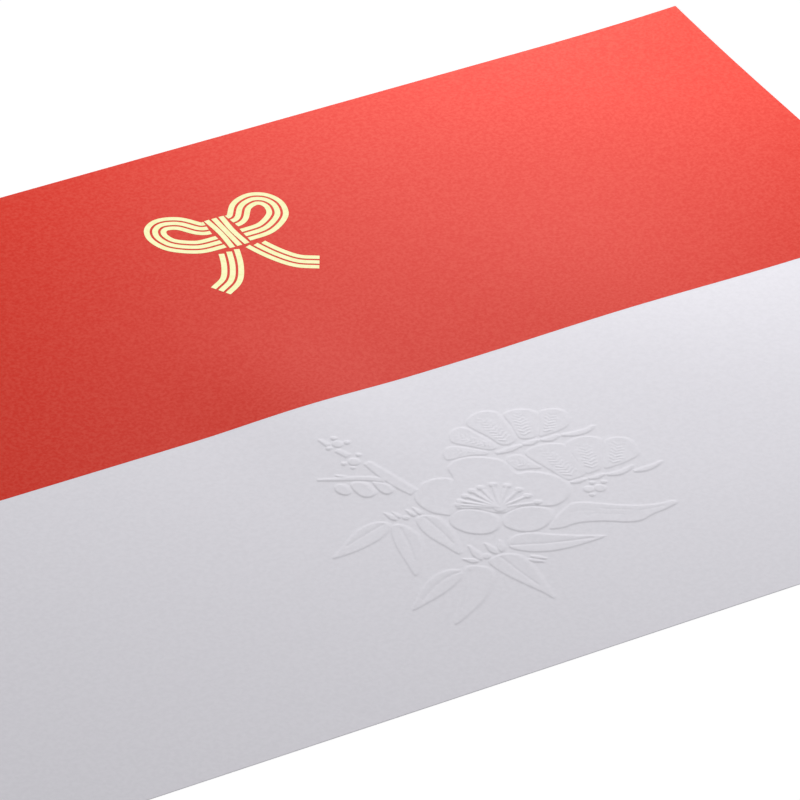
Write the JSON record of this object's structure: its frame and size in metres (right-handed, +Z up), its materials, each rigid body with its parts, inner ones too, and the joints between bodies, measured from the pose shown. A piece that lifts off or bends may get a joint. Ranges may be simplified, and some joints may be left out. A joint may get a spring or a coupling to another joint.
{
  "type": "gift wrapping sheet",
  "caption": "Flat sheet of gift wrapping paper: a red printed half with a bow in gold foil, and a white half with a blind emboss of plum blossom, pine and bamboo.",
  "frame": {"origin": "under the middle of the sheet, on the surface that it lies on", "axes": "+X along the long edge, +Y across the sheet towards the printed half, +Z up out of the face"},
  "size_m": [0.297, 0.21, 0.0012],
  "materials": {
    "paper": "matte",
    "red_ink": "matte",
    "gold_foil": "satin"
  },
  "bodies": {
    "root": {"paper_sheet": "paper", "red_ink_coat": "red_ink", "foil_left_loop_cord_1": "gold_foil", "foil_left_loop_cord_2": "gold_foil", "foil_left_loop_cord_3": "gold_foil", "foil_left_tail_cord_1": "gold_foil", "foil_left_tail_cord_2": "gold_foil", "foil_left_tail_cord_3": "gold_foil", "foil_right_loop_cord_1": "gold_foil", "foil_right_loop_cord_2": "gold_foil", "foil_right_loop_cord_3": "gold_foil", "foil_right_tail_cord_1": "gold_foil", "foil_right_tail_cord_2": "gold_foil", "foil_right_tail_cord_3": "gold_foil", "foil_knot_cord_1": "gold_foil", "foil_knot_cord_2": "gold_foil", "foil_knot_cord_3": "gold_foil"}
  },
  "joints": []
}
